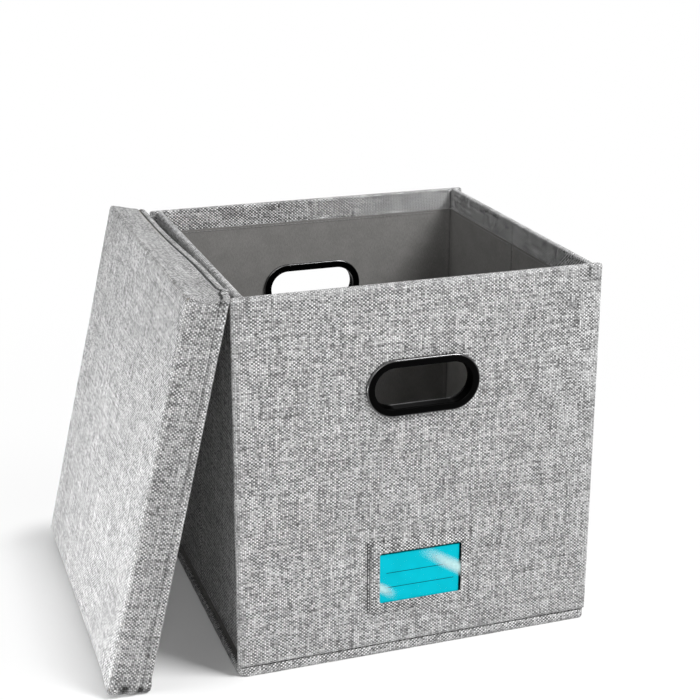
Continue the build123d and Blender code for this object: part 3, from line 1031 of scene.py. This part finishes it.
LID_FOOT = -BOX_WIDTH / 2 - LID_GAP - LID_LENGTH * sin(LID_LEAN)
LID_UP = (sin(LID_LEAN), 0, cos(LID_LEAN))
LID_MIDDLE = (
    LID_FOOT - LID_DEPTH * cos(LID_LEAN) + LID_LENGTH / 2 * sin(LID_LEAN),
    LID_BACK_SHIFT,
    LID_DEPTH * sin(LID_LEAN) + LID_LENGTH / 2 * cos(LID_LEAN),
)
LID_HEM = 12 * MM
CREASE_FROM_EDGE = 7.5 * MM
# In millimetres, as in the code that shapes the lid's cloth
FLAP_REACH = 4.6
SEAM_FROM_CORNER = 12.5
TUCK_DEPTHS = (13.5, 27.5)


def lid_cloth():
    """Outer cloth of the lid: its face, its rims with the hem crease, and the turned-in edge."""
    face = Face(LID_MIDDLE, (0, -1, 0), LID_UP, (CLOTH_AT["lid"], 0))
    radius = 4.0 * MM
    path = quarter(radius, radius, 3.2 * MM, 7)
    crease_depth = (LID_DEPTH - CREASE_FROM_EDGE) / MM
    near_crease = np.array([-2.4, -1.6, -1.0, -0.5, 0, 0.5, 1.0, 1.6, 2.6, 3.8, 5.2, 6.4])
    for depth in [*np.arange(5.5, crease_depth - 3.2, 2.6), *(crease_depth + near_crease)]:
        path.append((radius, radius, depth * MM, 0.0))
    half_wall = (LID_WALL - 0.1 * MM) / 2
    for t in np.linspace(0, pi, 9)[1:]:
        out = radius - half_wall * (1 - cos(t))
        path.append((out, out, LID_DEPTH - half_wall + half_wall * sin(t), 0.0))
    out = radius - 2 * half_wall
    for k in (0.15, 0.35, 0.6, 0.8, 1.0):
        path.append((out, out, LID_DEPTH - half_wall - LID_HEM * k, 0.0))
    half_x, half_y = LID_WIDTH / 2 - radius, LID_LENGTH / 2 - radius
    points, faces, flat, gone = wrapped(face, half_x, half_y, path, arc=7, square=2.3)
    # The cloth's own shape, in millimetres, from each point's place on the face and past its edges
    radius, half_x, half_y, gone = radius / MM, half_x / MM, half_y / MM, gone / MM
    x, y, depth = points[:, 0] / MM, points[:, 1] / MM, points[:, 2] / -MM
    past_x, past_y = np.abs(x) - half_x, np.abs(y) - half_y
    from_edge = LID_DEPTH / MM - depth
    outside = (gone < 46).astype(float)
    upper, lower, near_end = y > 0, y <= 0, x > 0
    bow = 0.55 * waves(points, 0.13, 71) + 0.16 * waves(points, 0.03, 73)
    offset = (0.25 + bow) * smooth(gone, 5, 0) * 0.7
    rim = smooth(depth, 2, 8) * smooth(from_edge, -0.5, 6) * outside
    offset += (0.35 * waves(points, 0.05, 75) + 0.14 * waves(points, 0.012, 77)) * rim
    # The crease runs round the rim, deepest on the upper one
    from_crease = from_edge - CREASE_FROM_EDGE / MM
    on_top = upper * smooth(past_y, 1, 3)
    wander = 0.5 * waves(points, 0.04, 79)
    crease = ridge((from_crease - wander) / (1.1 + 0.8 * on_top), 0, 1) * outside * (depth > 8)
    offset -= (0.5 + 0.8 * on_top) * crease
    offset += 0.22 * smooth(from_crease, 0.4, -0.8) * outside
    # Gathered folds at the corners, strongest near the open edge
    corner = ridge(past_x, radius, 18) * ridge(past_y, radius, 18)
    gather = corner * outside * np.maximum(smooth(from_edge, 18, 4), 0.8 * lower)
    folds = waves(points, 0.006, 81, 3)
    offset += 1.1 * gather * folds
    seam_x = ridge(past_x, radius - SEAM_FROM_CORNER, 1.2) * (past_y > 1)
    seam_y = ridge(past_y, radius - SEAM_FROM_CORNER, 1.2) * (past_x > 1)
    seam = np.maximum(seam_x, seam_y) * outside * smooth(from_edge, 13, 10)
    offset -= 0.3 * seam
    # The cloth is bunched at the lower near corner, with two deep tucks
    from_foot = radius - past_y
    bunch = near_end * lower * smooth(past_x, 1, 3) * smooth(depth, 3, 9)
    tuck = np.maximum(*(ridge(depth, middle, 5) for middle in TUCK_DEPTHS))
    tuck *= bunch * ridge(from_foot, 4.2, 4.2)
    offset += 1.1 * bunch * ridge(from_foot, 5, 11) - 1.4 * tuck
    # Where the lid stands on the floor its cloth is pressed flat
    offset -= np.maximum(offset, 0) * lower * smooth(past_y, 1, 3) * smooth(from_edge, 12, 4)
    # Painted shade in the tucks, along the crease (darkest on the upper rim) and the seams, in the
    # troughs of the corner folds, and a little over the whole rim
    dark = 1.7 * tuck + crease * (0.6 + 1.25 * on_top) + seam * 0.55
    dark = np.maximum(dark + gather * np.clip(-2.2 * folds, 0, 0.8), 0.14 * rim)
    wear = np.maximum(bell(gone, 3.2, 4.0), 0.75 * rim)
    wear = np.maximum(wear, 0.8 * bell(from_edge, 0.5, 1.5) * outside)
    # The upper rim's flap reaches out over the gap beside the inset wall, less toward the back
    outer, whole = smooth(past_y, 0.5, 3.5) * upper, smooth(past_y, -1.5, -0.3) * upper
    world_y = LID_BACK_SHIFT / MM - x
    between = smooth(-world_y, 154, 138) * smooth(world_y, 106, -70)
    reach = np.maximum(outer * smooth(depth, 10, 27), whole * smooth(depth, 28, 34))
    reach *= FLAP_REACH * between * MM
    puff = (0.8 + 2.0 * smooth(x, -half_x, half_x)) * between
    puff += 5.5 * smooth(x, half_x - 34, half_x - 6)
    near_side = near_end * smooth(past_x, 0.5, 3.5) * smooth(y, half_y - 24, half_y)
    puff *= np.maximum(outer, near_side) * smooth(from_edge, 20, 3)
    # The lower near corner is stuffed with folded cloth, just clear of the floor
    room = 0.48 * from_edge * sin(LID_LEAN) * outside
    stuffed = ridge(past_x, radius, 45) * near_end * lower * smooth(past_y, -6, 3)
    points[:, 1] += (puff - room * stuffed) * MM
    points[:, 2] -= reach
    flat[:, 1] += reach
    points, dark, offset = face.place(points), np.clip(dark, 0, 1), offset * MM
    piece = build("lid_cloth", points, faces, flat, LINEN, "lid", wear, dark, offset)
    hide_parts("lid_cover")


def lid_felt():
    """Lining tray inside the lid, from its floor up to the turned-in hem."""
    face = Face(LID_MIDDLE, (0, -1, 0), LID_UP, (CLOTH_AT["lid_felt"], 0))
    radius = 2.2 * MM
    inset = LID_WALL + radius + 0.15 * MM
    top = LID_DEPTH - LID_HEM + 0.5 * MM
    path = quarter(radius, radius, radius, 4, LID_WALL)
    for depth in np.linspace(LID_WALL + radius, top, 9)[1:]:
        path.append((radius, radius, depth, 0.0))
    path.append((radius + 0.5 * MM, radius + 0.5 * MM, top + 0.2 * MM, 0.0))
    half_x, half_y = LID_WIDTH / 2 - inset, LID_LENGTH / 2 - inset
    points, faces, flat, gone = wrapped(face, half_x, half_y, path, arc=4, square=2.4)
    on_floor = gone == 0
    points[on_floor, 2] = -LID_WALL
    faces = [f[::-1] for f in faces]
    inner = smooth(to_border(points, half_x, half_y), 0, 20 * MM) * on_floor
    rims = smooth(top + points[:, 2], 0, 3 * MM) * ~on_floor
    offset = 0.25 * MM * np.abs(waves(points, 0.06, 91)) * inner
    offset += 0.08 * MM * np.abs(waves(points, 0.03, 93)) * rims
    # Painted shade in the corner where the lining's floor turns up into its sides
    dark = 0.4 * bell(gone, 2.0 * MM, 1.6 * MM)
    piece = build("lid_felt", face.place(points), faces, flat, FELT, "lid", None, dark, offset)
    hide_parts("lid_lining")


lid_cloth()
lid_felt()


# ---- carried-over nodes

for node in frame["nodes"].values():
    for slot in node.material_slots:
        for key, material in NODE_MATERIALS.items():
            if slot.material and slot.material.name.startswith(key):
                slot.material = material


# ---- floor, light and camera

# The object's footprint: its middle across, and half its width and depth
FOOTPRINT_X = -0.055
FOOTPRINT_HALF = (0.235, 0.165)
CAMERA_PLACE = (-0.4659, -1.3070, 0.7181)
CAMERA_AZIMUTH = radians(-18.775)
CAMERA_ELEVATION = radians(17.154)


def floor():
    """Pale floor. Seen directly it lifts to white, and keeps the shadow of the object."""
    mesh = bpy.data.meshes.new("studio_floor")
    mesh.from_pydata([(-14, -6, 0), (14, -6, 0), (14, 24, 0), (-14, 24, 0)], [], [(0, 1, 2, 3)])
    plane = bpy.data.objects.new("studio_floor", mesh)
    bpy.context.scene.collection.objects.link(plane)
    g = material_graph("studio_floor_white")
    place = g.place()
    x, y, _ = g.split(place)
    past_x = g.larger(abs(x - FOOTPRINT_X) - FOOTPRINT_HALF[0], 0.0)
    past_y = g.larger(abs(y) - FOOTPRINT_HALF[1], 0.0)
    past = g.length(past_x, past_y)
    lifted = g.spread(past, 0.0, 0.07, 0.07, 0.93) + g.spread(past, 0.2, 0.9, 0.0, 0.07)
    seen = g.seen()
    grain = g.spread(g.noise(place, 400.0, 2.0), 0.3, 0.7, 0.0, 0.02)
    colour = g.mix(grain, g.mix(seen, grey(0.78), grey(0.95)), grey(0.7))
    diffuse = g.output(0, "BsdfDiffuse", {"Color": colour})
    glow = g.output(0, "Emission", {"Color": grey(1.0), "Strength": 1.0})
    mesh.materials.append(g.surface(g.mix_shaders(seen * lifted, diffuse, glow)))


def world():
    """Even soft light from all round; a white background where it is seen directly."""
    g = Graph(bpy.data.worlds.new("studio_world"))
    bpy.context.scene.world = g.owner
    soft = g.output(0, "Background", {"Color": (0.96, 0.98, 1.0, 1), "Strength": 0.06})
    white = g.output(0, "Background", {"Color": grey(1.0), "Strength": 1.0})
    g.add("OutputWorld", {"Surface": g.mix_shaders(g.seen(), soft, white)})


def aimed(name, data, place, toward):
    """Adds a lamp or camera that looks along a direction."""
    holder = bpy.data.objects.new(name, data)
    holder.location = place
    holder.rotation_mode = "QUATERNION"
    holder.rotation_quaternion = toward.to_track_quat("-Z", "Y")
    bpy.context.scene.collection.objects.link(holder)
    return holder


def softbox(name, place, target, size, power):
    """A rectangular area lamp aimed at a point."""
    lamp = bpy.data.lights.new(name, "AREA")
    lamp.shape = "RECTANGLE"
    lamp.size, lamp.size_y = size
    lamp.energy = power
    aimed(name, lamp, place, Vector(target) - Vector(place))


def camera():
    """Camera at the photograph's angle."""
    data = bpy.data.cameras.new("photo_camera")
    data.sensor_width = 36.0
    data.lens = 76.74
    data.shift_x = 0.0143
    data.shift_y = -0.0714
    data.clip_start, data.clip_end = 0.05, 60.0
    flat = cos(CAMERA_ELEVATION)
    back = (sin(CAMERA_AZIMUTH) * flat, -cos(CAMERA_AZIMUTH) * flat, sin(CAMERA_ELEVATION))
    bpy.context.scene.camera = aimed("photo_camera", data, CAMERA_PLACE, -Vector(back))


floor()
world()
softbox("key_softbox", (1.35, -1.2, 2.3), (0, 0, 0.15), (1.1, 1.1), 84)
softbox("front_softbox", (-0.5, -2.4, 1.0), (0, 0, 0.15), (0.9, 0.9), 13)
softbox("left_low_softbox", (-0.8, -0.06, 0.07), (-0.28, 0, 0.1), (0.3, 0.12), 3.6)
softbox("left_high_softbox", (-1.4, 0.1, 1.5), (0, 0, 0.25), (0.8, 0.8), 3.0)
softbox("edge_strip", (-1.15, -0.45, 0.12), (-0.15, -0.15, 0.2), (0.2, 0.15), 1.6)
softbox("top_softbox", (-0.5, 0.1, 2.1), (-0.1, 0, 0.2), (1.0, 1.0), 6)
softbox("back_softbox", (0.5, 2.6, 1.0), (0, 0, 0.15), (1.2, 1.0), 14)
camera()

bpy.context.scene.view_settings.view_transform = "Standard"
